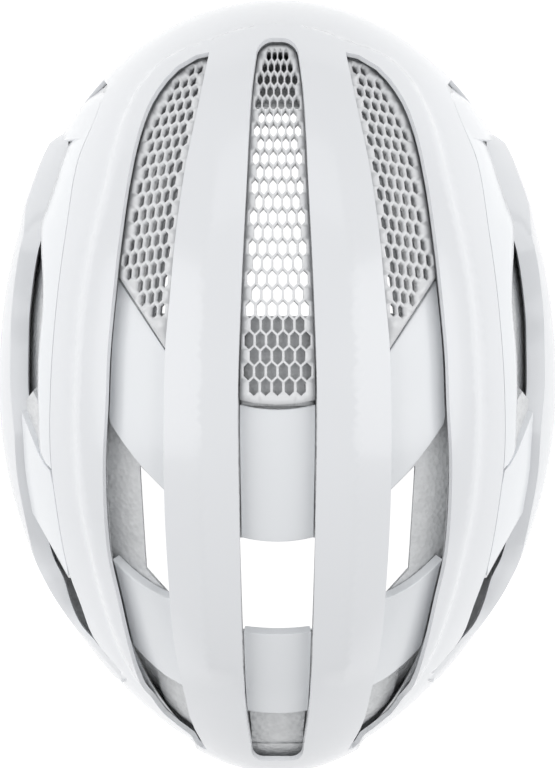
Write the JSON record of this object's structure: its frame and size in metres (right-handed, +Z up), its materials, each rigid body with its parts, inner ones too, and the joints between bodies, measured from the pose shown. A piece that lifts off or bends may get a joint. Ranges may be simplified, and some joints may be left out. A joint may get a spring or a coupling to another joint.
{
  "type": "cycling helmet",
  "caption": "Vented road cycling helmet with in-moulded shell, honeycomb vent inserts, dial-tightened rear cradle and magnetic chin strap.",
  "frame": {"origin": "head_seat: the middle of the head cavity at the level of the widest outline", "axes": "+Z up to the crown, -Y toward the forehead, +X toward the wearer's left"},
  "size_m": [0.202, 0.28, 0.2729],
  "materials": {
    "shell_gloss_white": "in-moulded polycarbonate, clear gloss",
    "panel_gloss_white": "in-moulded polycarbonate, clear gloss",
    "insert_white": "moulded honeycomb, satin",
    "foam_grey": "expanded polystyrene beads, matt",
    "pad_fabric": "knitted cover over foam",
    "webbing": "woven polyester webbing",
    "fitting_plastic": "fine moulded grain",
    "cradle_plastic": "fine moulded grain",
    "soft_rubber": "matt rubber",
    "steel": "brushed",
    "magnet": "nickel plated"
  },
  "bodies": {
    "helmet": {"outer_shell": "shell_gloss_white", "rim_shell": "shell_gloss_white", "foam_crown": "foam_grey", "foam_rim": "foam_grey", "centre_bridge_front": "panel_gloss_white", "centre_bridge_rear": "panel_gloss_white", "centre_mesh": "insert_white", "brow_pad": "pad_fabric", "cradle_guide": "fitting_plastic", "strap_anchors": "fitting_plastic", "side_shell_left": "shell_gloss_white", "side_bridge_front_left": "panel_gloss_white", "side_bridge_rear_left": "panel_gloss_white", "side_panel_left": "panel_gloss_white", "side_mesh_left": "insert_white", "crown_pad_left": "pad_fabric", "temple_pad_left": "pad_fabric", "temple_anchor_left": "fitting_plastic", "front_web_left": "webbing", "rear_web_left": "webbing", "divider_left": "fitting_plastic", "side_shell_right": "shell_gloss_white", "side_bridge_front_right": "panel_gloss_white", "side_bridge_rear_right": "panel_gloss_white", "side_panel_right": "panel_gloss_white", "side_mesh_right": "insert_white", "crown_pad_right": "pad_fabric", "temple_pad_right": "pad_fabric", "temple_anchor_right": "fitting_plastic", "front_web_right": "webbing", "rear_web_right": "webbing", "divider_right": "fitting_plastic"},
    "cradle": {"cradle_base": "cradle_plastic", "cradle_cover": "cradle_plastic", "cradle_stem": "cradle_plastic", "cover_screws": "steel", "click_ring": "cradle_plastic", "occipital_pad_left": "pad_fabric", "occipital_pad_right": "pad_fabric"},
    "dial": {"pinion": "cradle_plastic", "dial_knob": "cradle_plastic", "dial_grip": "soft_rubber", "dial_screw": "steel", "click_spring": "steel"},
    "left_band": {"band_left": "cradle_plastic"},
    "right_band": {"band_right": "cradle_plastic"},
    "left_strap": {"chin_web_left": "webbing", "strap_tail_left": "webbing", "buckle_half_left": "fitting_plastic", "buckle_magnet_left": "magnet"},
    "left_keeper": {"strap_keeper_left": "soft_rubber"},
    "right_strap": {"chin_web_right": "webbing", "strap_tail_right": "webbing", "buckle_half_right": "fitting_plastic", "buckle_magnet_right": "magnet"},
    "right_keeper": {"strap_keeper_right": "soft_rubber"}
  },
  "joints": [
    {"name": "cradle_slide", "type": "slide", "parent": "helmet", "child": "cradle", "axis": [0, 1, 0], "range_m": [-0.00437, 0.00437]},
    {"name": "dial_turn", "type": "hinge", "parent": "cradle", "child": "dial", "pos_m": [0, 0.112, -0.054], "axis": [0, 1, 0], "range_deg": [-75.1, 75.1]},
    {"name": "left_band_swing", "type": "hinge", "parent": "helmet", "child": "left_band", "pos_m": [0.068, -0.02, -0.009], "axis": [0, 0, 1], "range_deg": [-3.75, 3.75]},
    {"name": "right_band_swing", "type": "hinge", "parent": "helmet", "child": "right_band", "pos_m": [-0.068, -0.02, -0.009], "axis": [0, 0, 1], "range_deg": [-3.75, 3.75]},
    {"name": "left_strap_swing", "type": "hinge", "parent": "helmet", "child": "left_strap", "pos_m": [0.07, 0.006, -0.103], "axis": [0, -1, 0], "range_deg": [0, 60]},
    {"name": "left_keeper_slide", "type": "slide", "parent": "left_strap", "child": "left_keeper", "axis": [0, 0, 1], "range_m": [0, 0.008]},
    {"name": "right_strap_swing", "type": "hinge", "parent": "helmet", "child": "right_strap", "pos_m": [-0.07, 0.006, -0.103], "axis": [0, 1, 0], "range_deg": [0, 60]},
    {"name": "right_keeper_slide", "type": "slide", "parent": "right_strap", "child": "right_keeper", "axis": [0, 0, 1], "range_m": [0, 0.008]}
  ],
  "couplings": [
    {"joint": "dial_turn", "follows": "cradle_slide", "rad_per_m": -299.02},
    {"joint": "left_band_swing", "follows": "cradle_slide", "rad_per_m": -14.706},
    {"joint": "right_band_swing", "follows": "cradle_slide", "rad_per_m": 14.706}
  ]
}
